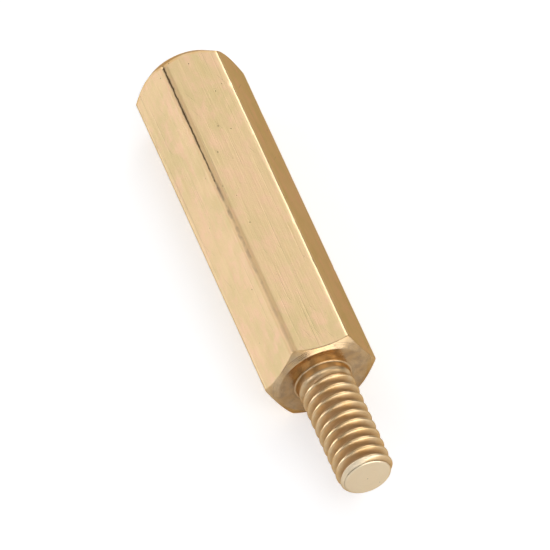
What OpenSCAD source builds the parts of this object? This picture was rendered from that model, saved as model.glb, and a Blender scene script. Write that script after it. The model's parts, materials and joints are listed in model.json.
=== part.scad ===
// Hex standoff with a threaded stud at one end and a threaded hole at the other, turned in one
// piece from drawn hexagonal brass bar. It lies on one of its six flats.
// Millimetres, +Z up. The axis runs along Y, and the origin is on it, in the plane of the shoulder:
// the body runs from there towards +Y, and the stud towards -Y.

/* [Body] */
// Width of the hexagonal body across its flats
across_flats = 3.5; // [3:0.1:8]
// Length of the body, from the shoulder to the end with the hole
body_length = 14; // [9:0.5:40]
// How far each of the six long corners stops short of a sharp one, as the bar is drawn
corner_blunting = 0.02; // [0.01:0.01:0.1]

/* [Shoulder chamfer] */
// Width of the step between a flat and the round edge of the shoulder
shoulder_inset = 0.15; // [0.04:0.01:0.3]
// Angle between the shoulder and its conical chamfer, in degrees
shoulder_chamfer_angle = 30; // [15:1:50]

/* [Hole end chamfer] */
// Width of the step between a flat and the round edge of the face around the hole
hole_end_inset = 0.25; // [0.04:0.01:0.35]
// Angle between that face and its conical chamfer, in degrees
hole_end_chamfer_angle = 45; // [15:1:50]

/* [Stud] */
// Outer diameter of the stud's thread
stud_diameter = 2; // [1.4:0.1:2.6]
// Length of the stud, from the shoulder to its tip
stud_length = 4.4; // [2:0.1:12]
// Width and depth of the 45 degree chamfer around the tip
tip_chamfer = 0.2; // [0.1:0.05:0.5]

/* [Hole] */
// Diameter of the drilled hole, which is the inner diameter of its thread
hole_diameter = 1.6; // [1:0.1:2]
// Depth of the hole at its full diameter, from the end face
hole_depth = 7; // [2:0.5:8]
// Diameter of the countersink at the mouth of the hole
countersink_diameter = 2.2; // [2.1:0.1:2.6]
// Full angle of the countersink, in degrees
countersink_angle = 90; // [60:5:120]
// Full angle of the drill's point, which shapes the bottom of the hole, in degrees
drill_point_angle = 118; // [90:1:140]

/* [Hidden] */

BRASS = [0.86, 0.72, 0.48];
SIDES = 6;
SMOOTH = 96;        // sides drawn on round surfaces
RUN_PAST = 1;       // how far a joined or a cutting shape runs on past the face it meets

flat_radius = across_flats / 2;
sharp_radius = flat_radius / cos(180 / SIDES);
corner_radius = sharp_radius - corner_blunting;
shoulder_radius = flat_radius - shoulder_inset;
shoulder_chamfer_length = (corner_radius - shoulder_radius) * tan(shoulder_chamfer_angle);
hole_end_radius = flat_radius - hole_end_inset;
hole_end_chamfer_length = (corner_radius - hole_end_radius) * tan(hole_end_chamfer_angle);

stud_radius = stud_diameter / 2;
tip_radius = stud_radius - tip_chamfer;

hole_radius = hole_diameter / 2;
countersink_radius = countersink_diameter / 2;
countersink_slope = tan(countersink_angle / 2);
countersink_depth = (countersink_radius - hole_radius) / countersink_slope;
drill_point_depth = hole_radius / tan(drill_point_angle / 2);

// Turns an outline about the Y axis. Its points are [radius, distance along the axis].
module turned(outline) {
    rotate([-90, 0, 0])
        rotate_extrude($fn = SMOOTH)
            polygon(outline);
}

// The drawn bar, with sharp corners and with a flat at the bottom.
module bar() {
    rotate([-90, 0, 0])
        cylinder(h = body_length, r = sharp_radius, $fn = SIDES);
}

// What the turning leaves of the bar: a chamfer at each end, and blunt corners between them.
module turned_envelope() {
    turned([
        [0, 0],
        [shoulder_radius, 0],
        [corner_radius, shoulder_chamfer_length],
        [corner_radius, body_length - hole_end_chamfer_length],
        [hole_end_radius, body_length],
        [0, body_length]
    ]);
}

// The stud at its thread's outer diameter, running on into the body.
module stud() {
    turned([
        [0, -stud_length],
        [tip_radius, -stud_length],
        [stud_radius, -stud_length + tip_chamfer],
        [stud_radius, RUN_PAST],
        [0, RUN_PAST]
    ]);
}

// The drilled hole and its countersink, running on out of the mouth.
module hole() {
    turned([
        [0, body_length - hole_depth - drill_point_depth],
        [hole_radius, body_length - hole_depth],
        [hole_radius, body_length - countersink_depth],
        [countersink_radius + RUN_PAST * countersink_slope, body_length + RUN_PAST],
        [0, body_length + RUN_PAST]
    ]);
}

module standoff() {
    color(BRASS)
        difference() {
            union() {
                intersection() {
                    bar();
                    turned_envelope();
                }
                stud();
            }
            hole();
        }
}

standoff();
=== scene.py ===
import json
import math
import random

import bpy
from mathutils import Matrix, Vector, noise

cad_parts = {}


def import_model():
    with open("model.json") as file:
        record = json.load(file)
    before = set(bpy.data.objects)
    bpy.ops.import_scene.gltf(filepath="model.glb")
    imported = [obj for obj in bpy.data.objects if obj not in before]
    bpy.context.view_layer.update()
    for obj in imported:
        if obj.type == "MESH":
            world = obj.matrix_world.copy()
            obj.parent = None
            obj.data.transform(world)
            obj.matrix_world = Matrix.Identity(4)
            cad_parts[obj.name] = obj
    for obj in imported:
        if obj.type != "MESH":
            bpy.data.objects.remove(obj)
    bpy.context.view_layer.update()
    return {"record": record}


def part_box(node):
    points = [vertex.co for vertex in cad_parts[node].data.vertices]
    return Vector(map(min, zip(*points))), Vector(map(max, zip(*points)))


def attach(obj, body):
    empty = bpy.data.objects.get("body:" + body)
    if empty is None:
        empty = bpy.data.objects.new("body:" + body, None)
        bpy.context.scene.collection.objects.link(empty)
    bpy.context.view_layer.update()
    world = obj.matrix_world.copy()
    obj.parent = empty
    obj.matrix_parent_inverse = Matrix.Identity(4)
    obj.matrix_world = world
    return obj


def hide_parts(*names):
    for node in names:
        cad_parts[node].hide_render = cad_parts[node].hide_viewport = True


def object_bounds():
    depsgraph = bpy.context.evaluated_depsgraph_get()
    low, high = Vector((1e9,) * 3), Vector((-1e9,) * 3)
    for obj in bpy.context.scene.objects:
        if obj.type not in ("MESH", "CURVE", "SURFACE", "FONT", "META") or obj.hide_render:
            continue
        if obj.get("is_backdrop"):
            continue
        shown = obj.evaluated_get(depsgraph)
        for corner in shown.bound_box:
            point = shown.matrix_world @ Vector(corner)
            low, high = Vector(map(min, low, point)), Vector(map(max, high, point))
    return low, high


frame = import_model()

# All shapes are worked out in millimetres in the CAD frame: the axis along Y, the shoulder at
# y = 0, the stud towards -Y, and angles about the axis from +Z towards +X.
MM = 0.001
LOW, HIGH = (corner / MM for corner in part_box("standoff"))
MOUNTS = {mount["name"]: mount for mount in frame["record"]["mounts"]}
STUD = MOUNTS["stud"]["dims"]
HOLE = MOUNTS["threaded_hole"]["dims"]

# Body. The first long corner is half a side away from +Z.
SIDES = 6
SIDE_DEGREES = 360 / SIDES
HALF_SIDE = math.radians(SIDE_DEGREES / 2)
FLAT_RADIUS = HIGH.z
CORNER_RADIUS = HIGH.x
BODY_END = HIGH.y
SLANT = 1 / math.cos(HALF_SIDE)
CORNER_FILLET = (FLAT_RADIUS * SLANT - CORNER_RADIUS) / (SLANT - 1)
SHOULDER_INSET = 0.15
SHOULDER_RADIUS = FLAT_RADIUS - SHOULDER_INSET
SHOULDER_SLOPE = math.tan(math.radians(30))
HOLE_END_INSET = 0.25
HOLE_END_RADIUS = FLAT_RADIUS - HOLE_END_INSET
HOLE_END_SLOPE = math.tan(math.radians(45))
EDGE_FILLET = 0.045

# Stud
CREST_CUT = 0.015                   # how far its crests lie under the thread's nominal radius
THREAD_RADIUS = STUD["r_mm"] - CREST_CUT
TIP = LOW.y
TIP_CHAMFER = -TIP - STUD["length_mm"]
TIP_RADIUS = STUD["r_mm"] - TIP_CHAMFER
TIP_RINGS = (0.2, 0.4, 0.55)        # radii of the rings on the tip's face
TIP_FILLET = 0.1
THREAD_START = 0.028                # how far up the tip's chamfer the thread's rows begin
NECK = -0.2                         # where the thread's rows end, by the shoulder
ROOT_FILLET = 0.05
CREST_WEAR = 0.008                  # how far wear lowers the thread in places
WEAR_SCALE = 2                      # of those places, per millimetre

# Hole
HOLE_RADIUS = HOLE["r_mm"]
HOLE_MOUTH = MOUNTS["threaded_hole"]["pos_m"][1] / MM
HOLE_BOTTOM = HOLE_MOUTH - HOLE["length_mm"]
COUNTERSINK_RADIUS = HOLE_RADIUS + BODY_END - HOLE_MOUTH
COUNTERSINK_FILLET = 0.02
DRILL_DEGREES = 118                 # full angle of the drill's point
DRILL_POINT = HOLE_RADIUS / math.tan(math.radians(DRILL_DEGREES / 2))
UNTAPPED = 1.1                      # length above the drill's point that the tap doesn't reach
TAPPED_TO = HOLE_BOTTOM + UNTAPPED
BORE_START = BODY_END - 0.07        # where the thread's rows begin, on the countersink
BORE_STOP = TAPPED_TO - 0.05        # where they end, below the run-out
EDGE_IN, EDGE_UP = 0.05, 0.03       # rings on both sides of the edge around the drill's point

# M2 coarse thread, on the stud and in the hole. Its rows are (distance along the axis, depth),
# over half of one groove.
PITCH = 0.4
FLANK_ANGLE = math.radians(30)
CREST_FLAT = PITCH / 8
THREAD_DEPTH = 0.6134 * PITCH - CREST_CUT
CREST_ROWS = ((-0.014, 0), (-0.004, 0.002), (0.005, 0.0095))    # from the edge of the flat crest
FLANK_DEPTHS = (0.05, 0.13)
ROOT_CURVE = 0.058                  # radius of the groove's round bottom
ROOT_DEGREES = (60, 38, 18)
TAPPED_DEPTH = 0.5413 * PITCH
TAPPED_ROWS = ((0, 0), (0.042, 0), (0.052, 0.005), (0.10, 0.085), (0.15, 0.17), (0.168, 0.2))
RUN_OUT = 0.42                      # length over which a thread fades out
THREAD_TURN = 0.61                  # share of a turn by which the stud's thread is turned

# Mesh. Half of each flat has columns of points at these shares of its width.
FLAT_SHARES = (0, 0.18, 0.36, 0.54, 0.7, 0.84, 0.94, 0.985)
CORNER_STEPS = 8
COLUMNS = SIDES * (2 * len(FLAT_SHARES) + CORNER_STEPS)
BODY_RINGS = 180
SHOULDER_RINGS = 5
END_RINGS = 4
MERGE = 0.004                       # points nearer than this to a thread's end join it
SPARE_TURNS = 2                     # turns made past a thread's ends, whose points all join them

# Wear: a score along one long corner, small nicks on all of them, and uneven flats. Angles and
# distances about the axis are in degrees.
SCORED_CORNER = -30
SCORE_START, SCORE_END = 8.4, 13.4
SCORE_FADES = (0.4, 0.3)            # lengths over which its two ends fade
SCORE_DEGREES = 0.8
SCORE_DEPTH = 0.01
SCORE_NICKS = (8.35, 7.6, 6.9, 5.7, 4.1)    # where nicks carry the score's line on
SCORE_NICK_LENGTHS = (0.05, 0.1)
SCORE_NICK_DEPTH = 0.016
NICKS = 30
NICK_SEED = 11
NICK_ENDS = (0.3, 0.5)              # how near the shoulder and the other end they may be
NICK_LENGTHS = (0.05, 0.11)
NICK_DEPTHS = (0.004, 0.014)
NICK_DEGREES = 1.0
NICK_STRAY = 1.5                    # how far off the corner's line one may be
NICK_REACH = 6                      # how far from its middle a nick has any depth
WAVE = 0.004                        # how far the drawn flats stray inwards
WAVES_ACROSS, WAVES_ALONG = 0.5, 0.3    # per millimetre

DRAWN, TURNED, THREADED, BORED = range(4)


def around(radius, angle):
    """(x, z) at that radius and angle about the axis."""
    return radius * math.sin(angle), radius * math.cos(angle)


def hexagon():
    """(angle, radius) of each column on the bar's outline, whose corners are rounded."""
    tangent = (FLAT_RADIUS - CORNER_FILLET) * math.tan(HALF_SIDE)
    centre = (FLAT_RADIUS - CORNER_FILLET) * SLANT
    turn = 2 * math.pi / SIDES
    half = [(math.atan2(tangent * share, FLAT_RADIUS), math.hypot(tangent * share, FLAT_RADIUS))
            for share in FLAT_SHARES]
    arc = []
    for step in range(CORNER_STEPS + 1):
        x, z = around(CORNER_FILLET, turn * step / CORNER_STEPS)
        cx, cz = around(centre, turn / 2)
        arc.append((math.atan2(cx + x, cz + z), math.hypot(cx + x, cz + z)))
    back = [(turn - angle, radius) for angle, radius in half[:0:-1]]
    sector = half + arc + back
    return [(angle + side * turn, radius) for side in range(SIDES) for angle, radius in sector]


OUTLINE = hexagon()


def column_angle(k, share):
    """Column k's angle, that share of the way from evenly spaced to the hexagon's columns."""
    even = 2 * math.pi * k / COLUMNS
    return even + share * (OUTLINE[k][0] - even)


class Skin:
    """The standoff's one closed surface, grown from the stud's tip to the bottom of the hole."""

    def __init__(self):
        self.points, self.faces, self.finishes = [], [], []

    def point(self, radius, y, angle):
        x, z = around(radius, angle)
        self.points.append((x * MM, y * MM, z * MM))
        return len(self.points) - 1

    def face(self, corners, finish):
        kept = [c for i, c in enumerate(corners) if c != corners[i - 1]]
        if len(kept) > 2:
            self.faces.append(kept)
            self.finishes.append(finish)

    def ring(self, radius, y):
        return [self.point(radius, y, column_angle(k, 0)) for k in range(COLUMNS)]

    def bridge(self, first, second, finish):
        for k in range(COLUMNS):
            n = (k + 1) % COLUMNS
            self.face([first[k], first[n], second[n], second[k]], finish)

    def cap(self, y, ring, finish, closing=False):
        middle = self.point(0, y, 0)
        for k in range(COLUMNS):
            n = (k + 1) % COLUMNS
            corners = [middle, ring[n], ring[k]]
            self.face(corners[::-1] if closing else corners, finish)

    def helix(self, first, last, y_first, y_last, rows, radius_at, finish, turned=0):
        """Joins two rings by a surface whose rows follow a right-handed thread.

        The rows are (share of the pitch, depth) across one groove, radius_at gives a point's
        radius from its y, depth and angle, and turned is a share of a turn about the axis.
        """
        way = 1 if y_last > y_first else -1
        count, made = len(rows), {}

        def corner(k, m):
            along, depth = rows[m % count]
            y = y_first + way * PITCH * (m // count + along) + PITCH * (k / COLUMNS - turned)
            if way * (y - y_first) < MERGE:
                return first[k]
            if way * (y_last - y) < MERGE:
                return last[k]
            if (k, m) not in made:
                angle = column_angle(k, 0)
                made[k, m] = self.point(radius_at(y, depth, angle), y, angle)
            return made[k, m]

        turns = math.ceil(abs(y_last - y_first) / PITCH) + SPARE_TURNS
        for k in range(COLUMNS):
            n = (k + 1) % COLUMNS
            shift = way * count if n == 0 else 0
            for m in range(-SPARE_TURNS * count, turns * count):
                self.face([corner(k, m), corner(n, m + shift),
                           corner(n, m + shift + 1), corner(k, m + 1)], finish)

    def piece(self, name, materials):
        mesh = bpy.data.meshes.new(name)
        mesh.from_pydata(self.points, [], self.faces)
        for material in materials:
            mesh.materials.append(material)
        mesh.polygons.foreach_set("material_index", self.finishes)
        mesh.polygons.foreach_set("use_smooth", [True] * len(self.faces))
        mesh.validate()
        obj = bpy.data.objects.new(name, mesh)
        bpy.context.scene.collection.objects.link(obj)
        return obj


def rounded(before, corner, after, radius, steps=4, beside=0.4):
    """The points of a fillet at a corner, with a supporting point on each side of it."""
    into = (Vector(corner) - Vector(before)).normalized()
    out = (Vector(after) - Vector(corner)).normalized()
    turn = into.angle(out)
    reach = radius * math.tan(turn / 2)
    start = Vector(corner) - into * reach
    side = 1 if into.x * out.y - into.y * out.x > 0 else -1
    centre = start + Vector((-into.y, into.x)) * radius * side
    arm = start - centre
    points = [start - into * reach * beside]
    for step in range(steps + 1):
        angle = side * turn * step / steps
        points.append(centre + Vector((arm.x * math.cos(angle) - arm.y * math.sin(angle),
                                       arm.x * math.sin(angle) + arm.y * math.cos(angle))))
    points.append(points[-1] + out * reach * beside)
    return points


def groove(half, depth):
    """(share of the pitch, depth) across one groove, from half of its rows and its full depth."""
    back = [(PITCH - along, deep) for along, deep in half[:0:-1]]
    return [(along / PITCH, deep) for along, deep in [*half, (PITCH / 2, depth), *back]]


def external_rows():
    """The rows across one groove of the stud's thread, from crest to crest."""
    slope = math.tan(FLANK_ANGLE)
    crest = CREST_FLAT / 2 + CREST_CUT * slope
    half = [(0, 0)]
    half += [(crest + along, deep) for along, deep in CREST_ROWS]
    half += [(crest + deep * slope, deep) for deep in FLANK_DEPTHS]
    for angle in ROOT_DEGREES:
        a = math.radians(angle)
        half.append((PITCH / 2 - ROOT_CURVE * math.sin(a),
                     THREAD_DEPTH - ROOT_CURVE * (1 - math.cos(a))))
    return groove(half, THREAD_DEPTH)


def faded(distance, length):
    """0 at no distance, 1 from that length on, and smooth between."""
    share = min(max(distance / length, 0), 1)
    return share * share * (3 - 2 * share)


def stud_radius(y, depth, angle):
    """The stud's radius: its thread fades out at the neck, and the tip's chamfer cuts it."""
    cone = TIP_RADIUS + y - TIP
    x, z = around(STUD["r_mm"], angle)
    formed = faded(NECK - y, RUN_OUT)
    wear = CREST_WEAR * formed * max(0, noise.noise(Vector((x, y, z)) * WEAR_SCALE))
    return min(THREAD_RADIUS - wear - depth * formed, cone)


def hole_radius(y, depth, _):
    """The hole's radius: its thread fades out below, and the countersink cuts it above."""
    cone = COUNTERSINK_RADIUS - (BODY_END - y)
    return max(HOLE_RADIUS + depth * faded(y - TAPPED_TO, RUN_OUT), cone)


def tip(skin):
    """Makes the stud's end face, and returns the ring where the thread begins and its y."""
    innermost, *others = TIP_RINGS
    inner = skin.ring(innermost, TIP)
    skin.cap(TIP, inner, TURNED)
    corner = rounded((0, TIP), (TIP_RADIUS, TIP), (TIP_RADIUS + 1, TIP + 1), TIP_FILLET)
    start = TIP + THREAD_START
    outline = [(radius, TIP) for radius in others] + [tuple(point) for point in corner]
    for radius, y in outline + [(TIP_RADIUS + THREAD_START, start)]:
        outer = skin.ring(radius, y)
        skin.bridge(inner, outer, TURNED)
        inner = outer
    return outer, start


def body_line(radius):
    """A column's points: (radius, y, share of the hexagon's angle, finish of the strip before)."""
    near = (radius - SHOULDER_RADIUS) * SHOULDER_SLOPE
    far = BODY_END - (radius - HOLE_END_RADIUS) * HOLE_END_SLOPE
    line = [(THREAD_RADIUS, -1), (THREAD_RADIUS, 0), (SHOULDER_RADIUS, 0), (radius, near),
            (radius, far), (HOLE_END_RADIUS, BODY_END), (COUNTERSINK_RADIUS, BODY_END),
            (COUNTERSINK_RADIUS - 1, BODY_END - 1)]
    fillets = [ROOT_FILLET] + [EDGE_FILLET] * 4 + [COUNTERSINK_FILLET]
    root, shoulder, near, far, end, mouth = [rounded(*line[i:i + 3], fillet)
                                             for i, fillet in enumerate(fillets)]
    return (strip(root, 0, THREADED)
            + between(root, shoulder, SHOULDER_RINGS, (0, 1), TURNED)
            + strip(shoulder + near, 1, TURNED)
            + between(near, far, BODY_RINGS, (1, 1), DRAWN)
            + strip(far + end, 1, TURNED)
            + between(end, mouth, END_RINGS, (1, 0), TURNED)
            + strip(mouth, 0, TURNED))


def strip(points, share, finish):
    return [(p.x, p.y, share, finish) for p in points]


def between(first, second, steps, shares, finish):
    """Evenly spaced points between the last of one stretch and the first of the next."""
    start, stop = first[-1], second[0]
    made = []
    for step in range(1, steps):
        p = start.lerp(stop, step / steps)
        made.append((p.x, p.y, shares[0] + (shares[1] - shares[0]) * step / steps, finish))
    return made


class Nick:
    """A small dent on a long corner."""

    def __init__(self, angle, y, length, depth):
        self.angle, self.y, self.length, self.depth = angle, y, length, depth

    def off(self, angle):
        return math.remainder(angle - self.angle, 2 * math.pi)

    def depth_at(self, angle, y):
        across = self.off(angle) / math.radians(NICK_DEGREES)
        along = (y - self.y) / self.length
        return self.depth * math.exp(-across * across - along * along)


def nicks():
    """Nicks that handling left on the long corners, with a row of them on the scored one."""
    draw = random.Random(NICK_SEED)
    made = []
    for _ in range(NICKS):
        corner = SIDE_DEGREES / 2 + SIDE_DEGREES * draw.randrange(SIDES)
        angle = math.radians(corner + draw.uniform(-NICK_STRAY, NICK_STRAY))
        y = draw.uniform(NICK_ENDS[0], BODY_END - NICK_ENDS[1])
        made.append(Nick(angle, y, draw.uniform(*NICK_LENGTHS), draw.uniform(*NICK_DEPTHS)))
    for y in SCORE_NICKS:
        made.append(Nick(math.radians(SCORED_CORNER), y, draw.uniform(*SCORE_NICK_LENGTHS),
                         SCORE_NICK_DEPTH))
    return made


def worn(angle, y, radius, dents):
    """How far the surface of the body lies inside its true shape."""
    x, z = around(radius, angle)
    place = Vector((x * WAVES_ACROSS, y * WAVES_ALONG, z * WAVES_ACROSS))
    wave = WAVE * max(0, 0.5 + noise.noise(place))
    off = math.remainder(angle - math.radians(SCORED_CORNER), 2 * math.pi)
    across = off / math.radians(SCORE_DEGREES)
    ends = faded(y - SCORE_START, SCORE_FADES[0]) * faded(SCORE_END - y, SCORE_FADES[1])
    score = SCORE_DEPTH * math.exp(-across * across) * ends
    return wave + score + sum(dent.depth_at(angle, y) for dent in dents)


def body(skin, first):
    """Makes the body's outside, from the stud's neck to the hole, and returns its last ring."""
    dents = nicks()
    columns = []
    for k, (hexagon_angle, radius) in enumerate(OUTLINE):
        near = [dent for dent in dents if abs(dent.off(hexagon_angle)) < math.radians(NICK_REACH)]
        column = []
        for r, y, share, finish in body_line(radius):
            angle = column_angle(k, share)
            if share == 1 and 0 < y < BODY_END:
                r -= worn(angle, y, r, near)
            column.append((skin.point(r, y, angle), finish))
        columns.append(column)
    previous = first
    for ring in zip(*columns):
        points = [point for point, _ in ring]
        skin.bridge(previous, points, ring[0][1])
        previous = points
    return previous


def bore(skin, mouth):
    """The tapped hole, from the ring at its mouth to the point that the drill left."""
    first = skin.ring(COUNTERSINK_RADIUS - (BODY_END - BORE_START), BORE_START)
    skin.bridge(mouth, first, TURNED)
    last = skin.ring(HOLE_RADIUS, BORE_STOP)
    skin.helix(first, last, BORE_START, BORE_STOP, groove(TAPPED_ROWS, TAPPED_DEPTH), hole_radius,
               BORED)
    for radius, y in ((HOLE_RADIUS, HOLE_BOTTOM + EDGE_UP), (HOLE_RADIUS, HOLE_BOTTOM),
                      (HOLE_RADIUS - EDGE_IN, HOLE_BOTTOM - EDGE_UP),
                      (HOLE_RADIUS / 2, HOLE_BOTTOM - DRILL_POINT / 2)):
        ring = skin.ring(radius, y)
        skin.bridge(last, ring, BORED)
        last = ring
    skin.cap(HOLE_BOTTOM - DRILL_POINT, last, BORED, closing=True)


# Colours of the brass, as linear light
PALE = (0.76, 0.55, 0.315)
ROSY = (0.79, 0.53, 0.34)
OLIVE = (0.66, 0.51, 0.265)
WARM = (0.70, 0.455, 0.21)
BROWN = (0.37, 0.26, 0.17)
# Painted shade in the thread's grooves
GROOVE_SHADE = (0.52, 0.345, 0.18)
# Dark dirt in the pits and the score, and painted shade on one side of the stud and shoulder
DIRT_AND_SHADE = (0.10, 0.055, 0.02)
# Painted highlight on the long corners and the thread's crests
BRIGHT = (0.90, 0.68, 0.40)
# Painted pale reflection on the stud's tip
TIP_REFLECTION = (0.92, 0.78, 0.56)
EDGE_TINT = (0.76, 0.53, 0.28)      # of light that grazes the metal

# Places of the marks, in degrees about the axis. A band has no strength at its first distance
# from the middle, and all of it at its second.
# The middle and reach of the side of the stud, and of the shoulder by it, that is painted in shade
SHADE_SIDE_MIDDLE, SHADE_SIDE_REACH = -40, 60
SCORE_STRAY = 2.4                   # how far the score's ragged line strays to and fro
DULL_BAND = (6, 3.2)
SMUDGE_BAND = (2.4, 1.2)
LINE_BAND = (1.1, 0.4)


class Surface:
    """A metal's node tree. Places in it are in millimetres, in the CAD frame."""

    def __init__(self, name):
        self.material = bpy.data.materials.new(name)
        self.material.use_nodes = True
        self.tree = self.material.node_tree
        self.shader = self.tree.nodes["Principled BSDF"]
        self.shader.inputs["Metallic"].default_value = 1
        self.shader.inputs["Specular Tint"].default_value = (*EDGE_TINT, 1)
        place = self.add("TexCoord").outputs["Object"]
        inputs = {0: place, "Scale": 1 / MM}
        self.place = self.add("VectorMath", inputs, operation="SCALE").outputs[0]
        self.x, self.y, self.z = self.add("SeparateXYZ", {0: self.place}).outputs
        square = self.math("ADD", self.math("POWER", self.x, 2), self.math("POWER", self.z, 2))
        self.radius = self.math("SQRT", square)
        self.angle = self.math("ARCTAN2", self.x, self.z)

    def add(self, kind, inputs=None, **settings):
        node = self.tree.nodes.new("ShaderNode" + kind)
        for name, value in settings.items():
            setattr(node, name, value)
        for name, value in (inputs or {}).items():
            if isinstance(value, bpy.types.NodeSocket):
                self.tree.links.new(value, node.inputs[name])
            else:
                node.inputs[name].default_value = value
        return node

    def math(self, operation, a, b=0.0):
        return self.add("Math", {0: a, 1: b}, operation=operation).outputs[0]

    def scaled(self, value, by):
        return self.math("MULTIPLY", value, by)

    def total(self, *values):
        whole = values[0]
        for value in values[1:]:
            whole = self.math("ADD", whole, value)
        return whole

    def weighted(self, *parts):
        """The sum of the parts. Each is a plain number, or a value and its weight."""
        return self.total(*[self.scaled(*part) if isinstance(part, tuple) else part
                            for part in parts])

    def off(self, value, middle):
        """How far the value is from the middle one."""
        return self.math("ABSOLUTE", self.math("SUBTRACT", value, middle))

    def step(self, value, low, high):
        """0 where the value is at the first bound, 1 at the second, and smooth between."""
        return self.add("MapRange", {"Value": value, "From Min": low, "From Max": high},
                        interpolation_type="SMOOTHSTEP").outputs[0]

    def near(self, value, middle, reach):
        """1 where the value is the middle one, falling to 0 at that reach on both sides."""
        return self.step(self.off(value, middle), reach, 0)

    def band(self, distance, bounds):
        """0 where a distance about the axis is at the first bound, in degrees, 1 at the second."""
        return self.step(distance, *[math.radians(bound) for bound in bounds])

    def shade_side(self):
        """1 on the side of the stud that is painted in shade, falling to 0 around it."""
        return self.near(self.angle, math.radians(SHADE_SIDE_MIDDLE), math.radians(SHADE_SIDE_REACH))

    def point(self, x, y, z):
        return self.add("CombineXYZ", {"X": x, "Y": y, "Z": z}).outputs[0]

    def stretched(self, across, along):
        """The place, with that many units to a millimetre across the axis and along it."""
        inputs = {0: self.place, 1: (across, along, across)}
        return self.add("VectorMath", inputs, operation="MULTIPLY").outputs[0]

    def noise(self, at, scale=1.0, detail=2.0, roughness=0.5, distortion=0.0):
        return self.add("TexNoise", {"Vector": at, "Scale": scale, "Detail": detail,
                                     "Roughness": roughness, "Distortion": distortion}).outputs[0]

    def specks(self, scale, size, share):
        """1 in sparse round specks of that size, in that share of the cells."""
        cell = self.add("TexVoronoi", {"Vector": self.place, "Scale": scale})
        chosen = self.step(self.add("SeparateColor", {0: cell.outputs["Color"]}).outputs[0],
                           1 - share, 1 - share + 0.02)
        spot = self.step(cell.outputs["Distance"], size * scale, size * scale * 0.5)
        return self.math("MULTIPLY", spot, chosen)

    def mix(self, share, first, second):
        colours = [value if isinstance(value, bpy.types.NodeSocket) else (*value, 1)
                   for value in (first, second)]
        return self.add("Mix", {0: share, 6: colours[0], 7: colours[1]},
                        data_type="RGBA").outputs[2]

    def layered(self, colour, *layers):
        """The colour under some layers, each given by its place, its strength and its colour."""
        for place, strength, over in layers:
            colour = self.mix(self.scaled(place, strength), colour, over)
        return colour

    def finish(self, colour, roughness, height):
        """The height is in millimetres."""
        bump = self.add("Bump", {"Strength": 1.0, "Distance": MM, "Height": height})
        for name, value in (("Base Color", colour), ("Roughness", roughness),
                            ("Normal", bump.outputs[0])):
            self.tree.links.new(value, self.shader.inputs[name])
        return self.material


# In the finishes below, the numbers of a noise are its units to a millimetre across the axis and
# along it, those of a step are the bounds between which a mark fades in, and the number of a
# layer is its strength.


def score_marks(s, blots):
    """The scored corner: the score's dark line, smudges where it fades, and dulled metal by it."""
    ragged = s.noise(s.stretched(7, 3.5), detail=4.0, roughness=0.65)
    wander = s.total(s.angle, s.scaled(ragged, math.radians(SCORE_STRAY)))
    off_line = s.off(wander, math.radians(SCORED_CORNER + SCORE_STRAY / 2))
    far_half = s.step(s.total(s.y, s.scaled(ragged, 5.0)), 9.0, 12.0)
    line = s.scaled(s.band(off_line, LINE_BAND), far_half)
    blotted = s.scaled(s.band(off_line, SMUDGE_BAND), s.step(blots, 0.42, 0.6))
    smudge = s.scaled(blotted, s.step(s.y, -3, 9))
    dulled = s.band(s.off(s.angle, math.radians(SCORED_CORNER)), DULL_BAND)
    return line, smudge, dulled


def scratched(s):
    """Long scratches from the drawing, and short slanted scuffs from handling."""
    scratches = s.step(s.noise(s.stretched(19, 0.16), detail=1.0), 0.66, 0.72)
    slanted = s.scaled(s.total(s.x, s.z, s.scaled(s.y, 0.4)), 15)
    scuffs = s.noise(s.point(slanted, s.scaled(s.y, 0.7), 0.0), detail=1.0)
    return s.math("MAXIMUM", scratches, s.step(scuffs, 0.71, 0.76))


def drawn_brass():
    """The bar's flats: fine lines along it, faint stains, pits, scratches, and rubbed corners that
    are painted lighter as a highlight.
    """
    s = Surface("drawn_brass")
    fine = s.noise(s.stretched(34, 0.9), detail=3.0)
    coarse = s.noise(s.stretched(9, 0.25), detail=2.0)
    clouds = s.noise(s.stretched(0.75, 0.45), detail=5.0, roughness=0.6, distortion=0.4)
    blots = s.noise(s.stretched(2.2, 1.3), detail=4.0, roughness=0.62)
    grain = s.noise(s.stretched(20, 14), detail=2.0)
    line, smudge, dulled = score_marks(s, blots)
    corner = s.step(s.radius, CORNER_RADIUS - 0.07, CORNER_RADIUS - 0.02)
    rubbed = s.scaled(corner, s.math("SUBTRACT", 1.0, dulled))
    pits = s.specks(scale=2.6, size=0.03, share=0.4)
    dust = s.specks(scale=6.0, size=0.015, share=0.5)
    marks = scratched(s)
    colour = s.layered(s.mix(s.step(clouds, 0.3, 0.7), OLIVE, PALE),
                       (s.step(blots, 0.42, 0.7), 0.9, ROSY),
                       (s.step(fine, 0.45, 0.25), 0.3, WARM),
                       (s.step(coarse, 0.42, 0.3), 0.3, OLIVE),
                       # painted highlight: the long corners, which are also rubbed smoother, are
                       # painted lighter
                       (corner, 0.6, BRIGHT),
                       (smudge, 0.5, BROWN),
                       (marks, 0.3, BROWN),
                       (dust, 0.6, BROWN),
                       (pits, 0.8, DIRT_AND_SHADE),
                       (line, 0.9, DIRT_AND_SHADE))
    roughness = s.weighted(0.28, (clouds, 0.12), (fine, 0.06), (rubbed, -0.05), (dulled, 0.32))
    height = s.weighted((fine, 0.002), (coarse, 0.003), (blots, 0.006), (grain, 0.0015),
                        (pits, -0.006), (marks, -0.0015))
    return s.finish(colour, roughness, height)


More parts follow.
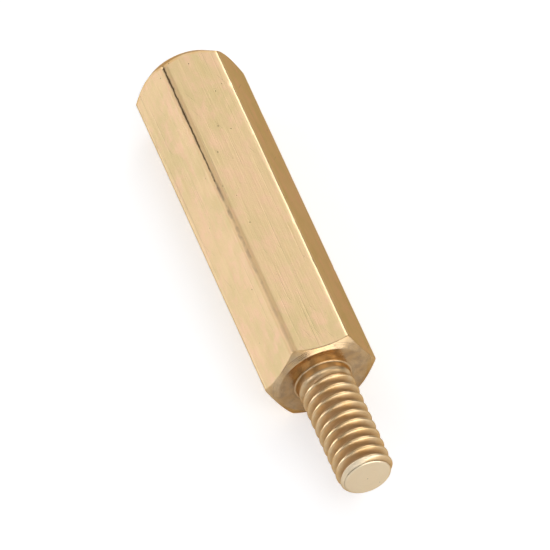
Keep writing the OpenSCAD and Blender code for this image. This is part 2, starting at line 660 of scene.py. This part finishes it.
def turned_brass():
    """The shoulder, chamfers and end faces: rings left by the tool, painted shade on the shoulder
    and round the stud's root, darkest on one side, and a painted pale reflection on the tip.
    """
    s = Surface("turned_brass")
    reach = s.total(s.radius, s.scaled(s.y, 0.6))
    rings = s.noise(s.point(s.scaled(reach, 16), 0.0, 0.0), detail=3.0)
    chatter = s.noise(s.stretched(5, 5), detail=2.0)
    clouds = s.noise(s.stretched(1.6, 1.6), detail=4.0, roughness=0.6)
    at_tip = s.step(s.y, TIP + 0.5, TIP + 0.3)
    at_shoulder = s.math("SUBTRACT", s.step(s.y, 0.25, 0.0), at_tip)
    root = s.scaled(s.step(s.radius, THREAD_RADIUS + 0.2, THREAD_RADIUS), at_shoulder)
    spots = s.step(s.noise(s.stretched(2.6, 2.6), detail=3.0), 0.45, 0.65)
    blots = s.scaled(spots, at_shoulder)
    inwards = s.step(s.radius, SHOULDER_RADIUS, THREAD_RADIUS)
    # Painted shade on one side of the stud's root, over the inner part of the shoulder
    shade_side = s.scaled(s.shade_side(), s.scaled(inwards, at_shoulder))
    pits = s.specks(scale=4.0, size=0.025, share=0.4)
    colour = s.layered(s.mix(s.step(clouds, 0.35, 0.65), WARM, PALE),
                       (s.step(rings, 0.5, 0.3), 0.4, BROWN),
                       # painted shade: the shoulder is painted browner
                       (at_shoulder, 0.35, BROWN),
                       (blots, 0.5, BROWN),
                       # painted pale reflection on the tip
                       (at_tip, 0.8, TIP_REFLECTION),
                       # painted shade round the stud's root
                       (root, 0.35, BROWN),
                       # painted shade on one side of the stud's root
                       (shade_side, 0.22, DIRT_AND_SHADE),
                       (pits, 0.8, DIRT_AND_SHADE))
    roughness = s.weighted(0.24, (clouds, 0.12), (rings, 0.08), (at_shoulder, -0.12))
    height = s.weighted((rings, 0.004), (chatter, 0.003), (pits, -0.004))
    return s.finish(colour, roughness, height)


def threaded(name, crest, root):
    """A thread: painted highlights on its crests, painted shade in its grooves and next to the
    shoulder, a painted pale reflection on the tip, and fine marks that run along the helix.
    """
    s = Surface(name)
    turn = s.math("SUBTRACT", s.scaled(s.y, 2 * math.pi / PITCH), s.angle)
    along = s.point(s.scaled(s.math("COSINE", turn), 2.4), s.scaled(s.math("SINE", turn), 2.4),
                    s.scaled(s.y, 0.8))
    marks = s.noise(along, scale=2.2, detail=3.0)
    clouds = s.noise(s.stretched(2.2, 2.2), detail=4.0, roughness=0.6)
    grain = s.noise(s.stretched(14, 14), detail=2.0)
    cone = s.total(s.y, TIP_RADIUS - TIP)
    off_cone = s.step(s.math("SUBTRACT", cone, s.radius), 0.004, 0.02)
    at_tip = s.scaled(s.step(s.y, TIP + 0.3, TIP + 0.15), s.step(off_cone, 1, 0))
    depth = s.scaled(s.step(s.radius, crest, root), off_cone)
    neck = s.near(s.y, 0, 0.6)
    # Painted shade on one side of the stud, next to the shoulder
    shade_side = s.scaled(neck, s.shade_side())
    colour = s.layered(s.mix(s.step(clouds, 0.35, 0.65), WARM, PALE),
                       (s.step(marks, 0.5, 0.3), 0.35, BROWN),
                       # painted shade in the grooves
                       (depth, 0.85, GROOVE_SHADE),
                       # painted shade on the stud next to the shoulder, darker on one side
                       (s.weighted((neck, 0.3), (shade_side, 0.35)), 1, BROWN),
                       # painted shade on one side of the stud, next to the shoulder
                       (shade_side, 0.3, DIRT_AND_SHADE),
                       # painted highlight on the crests
                       (s.step(depth, 0.12, 0.0), 0.25, BRIGHT),
                       # painted pale reflection on the tip
                       (at_tip, 0.8, TIP_REFLECTION))
    roughness = s.weighted(0.26, (at_tip, 0.1), (clouds, 0.12), (depth, 0.35))
    height = s.weighted((marks, 0.004), (grain, 0.0015))
    return s.finish(colour, roughness, height)


def standoff():
    """The whole standoff as one closed mesh, which replaces the CAD solid."""
    skin = Skin()
    start_ring, start = tip(skin)
    neck = skin.ring(THREAD_RADIUS, NECK)
    skin.helix(start_ring, neck, start, NECK, external_rows(), stud_radius, THREADED, THREAD_TURN)
    mouth = body(skin, neck)
    bore(skin, mouth)
    materials = [drawn_brass(), turned_brass(),
                 threaded("threaded_brass", THREAD_RADIUS - 0.02, THREAD_RADIUS - THREAD_DEPTH),
                 threaded("bored_brass", HOLE_RADIUS + 0.01, HOLE_RADIUS + TAPPED_DEPTH)]
    obj = skin.piece("standoff_detail", materials)
    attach(obj, "root")
    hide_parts("standoff")


# Floor, in metres, and how much it glows for camera, reflected and transmitted rays
FLOOR_REACH = 2
FLOOR_COLOUR = (0.85, 0.85, 0.85)
FLOOR_GLOW = (0.43, 0.1, 0.1)


def floor():
    """A white floor that keeps a soft shadow."""
    mesh = bpy.data.meshes.new("floor")
    low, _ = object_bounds()
    size = FLOOR_REACH
    mesh.from_pydata([(-size, -size, low.z), (size, -size, low.z), (size, size, low.z),
                      (-size, size, low.z)], [], [(0, 1, 2, 3)])
    obj = bpy.data.objects.new("floor", mesh)
    bpy.context.scene.collection.objects.link(obj)
    material = bpy.data.materials.new("floor")
    material.use_nodes = True
    nodes, links = material.node_tree.nodes, material.node_tree.links
    nodes.clear()
    diffuse = nodes.new("ShaderNodeBsdfDiffuse")
    diffuse.inputs["Color"].default_value = (*FLOOR_COLOUR, 1)
    emission = nodes.new("ShaderNodeEmission")
    links.new(background_share(nodes, links, FLOOR_GLOW), emission.inputs["Strength"])
    add = nodes.new("ShaderNodeAddShader")
    output = nodes.new("ShaderNodeOutputMaterial")
    links.new(diffuse.outputs[0], add.inputs[0])
    links.new(emission.outputs[0], add.inputs[1])
    links.new(add.outputs[0], output.inputs["Surface"])
    mesh.materials.append(material)
    obj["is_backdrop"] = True


def background_share(nodes, links, levels):
    """The level for camera rays, for reflected rays or for transmitted rays, and 0 for others."""
    path = nodes.new("ShaderNodeLightPath")
    whole = None
    for ray, level in zip(("Is Camera Ray", "Is Glossy Ray", "Is Transmission Ray"), levels):
        part = nodes.new("ShaderNodeMath")
        part.operation = "MULTIPLY_ADD"
        links.new(path.outputs[ray], part.inputs[0])
        part.inputs[1].default_value = level
        part.inputs[2].default_value = 0
        if whole:
            links.new(whole, part.inputs[2])
        whole = part.outputs[0]
    return whole


# The world's level at and below the horizon, and at the zenith
WORLD_LOW, WORLD_HIGH = 0.08, 0.36


def world():
    """A dim dome of light around the lamps."""
    made = bpy.data.worlds.new("studio")
    bpy.context.scene.world = made
    made.use_nodes = True
    nodes, links = made.node_tree.nodes, made.node_tree.links
    towards = nodes.new("ShaderNodeTexCoord").outputs["Generated"]
    parts = nodes.new("ShaderNodeSeparateXYZ")
    level = nodes.new("ShaderNodeMapRange")
    level.inputs["To Min"].default_value = WORLD_LOW
    level.inputs["To Max"].default_value = WORLD_HIGH
    links.new(towards, parts.inputs[0])
    links.new(parts.outputs["Z"], level.inputs["Value"])
    links.new(level.outputs[0], nodes["Background"].inputs["Strength"])
    nodes["Background"].inputs["Color"].default_value = (1, 1, 1, 1)


# Each lamp's name, direction from the origin, width, height, radiance and colour, in metres
LAMP_DISTANCE = 0.45
WHITE, COOL = (1, 1, 1), (0.95, 1, 1.12)
LAMPS = (("back", (0.12, 0.6, 0.79), 0.4, 0.27, 0.61, WHITE),
         ("back_right", (0.52, 0.58, 0.62), 0.18, 0.2, 2.6, WHITE),
         ("back_left", (-0.86, 0.44, 0.13), 0.32, 0.2, 3.9, COOL),
         ("back_low", (0.0, 0.96, 0.28), 0.3, 0.16, 0.5, WHITE),
         ("right", (0.76, 0.05, 0.65), 0.3, 0.27, 0.6, WHITE),
         ("front_left", (-0.72, -0.44, 0.5), 0.27, 0.27, 2.2, COOL),
         ("front_top", (0.1, -0.6, 0.8), 0.27, 0.27, 1.5, WHITE),
         ("front", (0.42, -0.89, 0.15), 0.52, 0.24, 2.8, WHITE))


def softbox(name, towards, width, height, radiance, colour):
    """An even rectangle of light in that direction, facing the standoff."""
    data = bpy.data.lights.new(name, "AREA")
    data.shape = "RECTANGLE"
    data.size, data.size_y = width, height
    data.energy = radiance * math.pi * width * height
    data.color = colour
    obj = bpy.data.objects.new(name, data)
    direction = Vector(towards).normalized()
    obj.location = direction * LAMP_DISTANCE
    obj.rotation_euler = (-direction).to_track_quat("-Z", "Y").to_euler()
    bpy.context.scene.collection.objects.link(obj)


# Camera: where it stands from the middle of the standoff, in degrees and metres
VIEW_AZIMUTH, VIEW_ELEVATION, VIEW_ROLL = -19.55, 52.31, -0.45
VIEW_DISTANCE = 0.2988
VIEW_CLIP = (0.01, 10)
LENS_MM, SENSOR_MM = 570, 36


def camera():
    """The camera, at the photo's viewing angle, with the standoff in the middle of its view."""
    data = bpy.data.cameras.new("camera")
    data.sensor_width = SENSOR_MM
    data.lens = LENS_MM
    data.clip_start, data.clip_end = VIEW_CLIP
    obj = bpy.data.objects.new("camera", data)
    low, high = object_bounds()
    a, e = math.radians(VIEW_AZIMUTH), math.radians(VIEW_ELEVATION)
    back = Vector((math.sin(a) * math.cos(e), -math.cos(a) * math.cos(e), math.sin(e)))
    obj.location = (low + high) / 2 + back * VIEW_DISTANCE
    upright = (-back).to_track_quat("-Z", "Y").to_matrix()
    roll = Matrix.Rotation(math.radians(VIEW_ROLL), 3, "Z")
    obj.rotation_euler = (upright @ roll).to_euler()
    bpy.context.scene.collection.objects.link(obj)
    bpy.context.scene.camera = obj


standoff()
floor()
world()
for lamp in LAMPS:
    softbox(*lamp)
camera()
bpy.context.scene.view_settings.view_transform = "Standard"
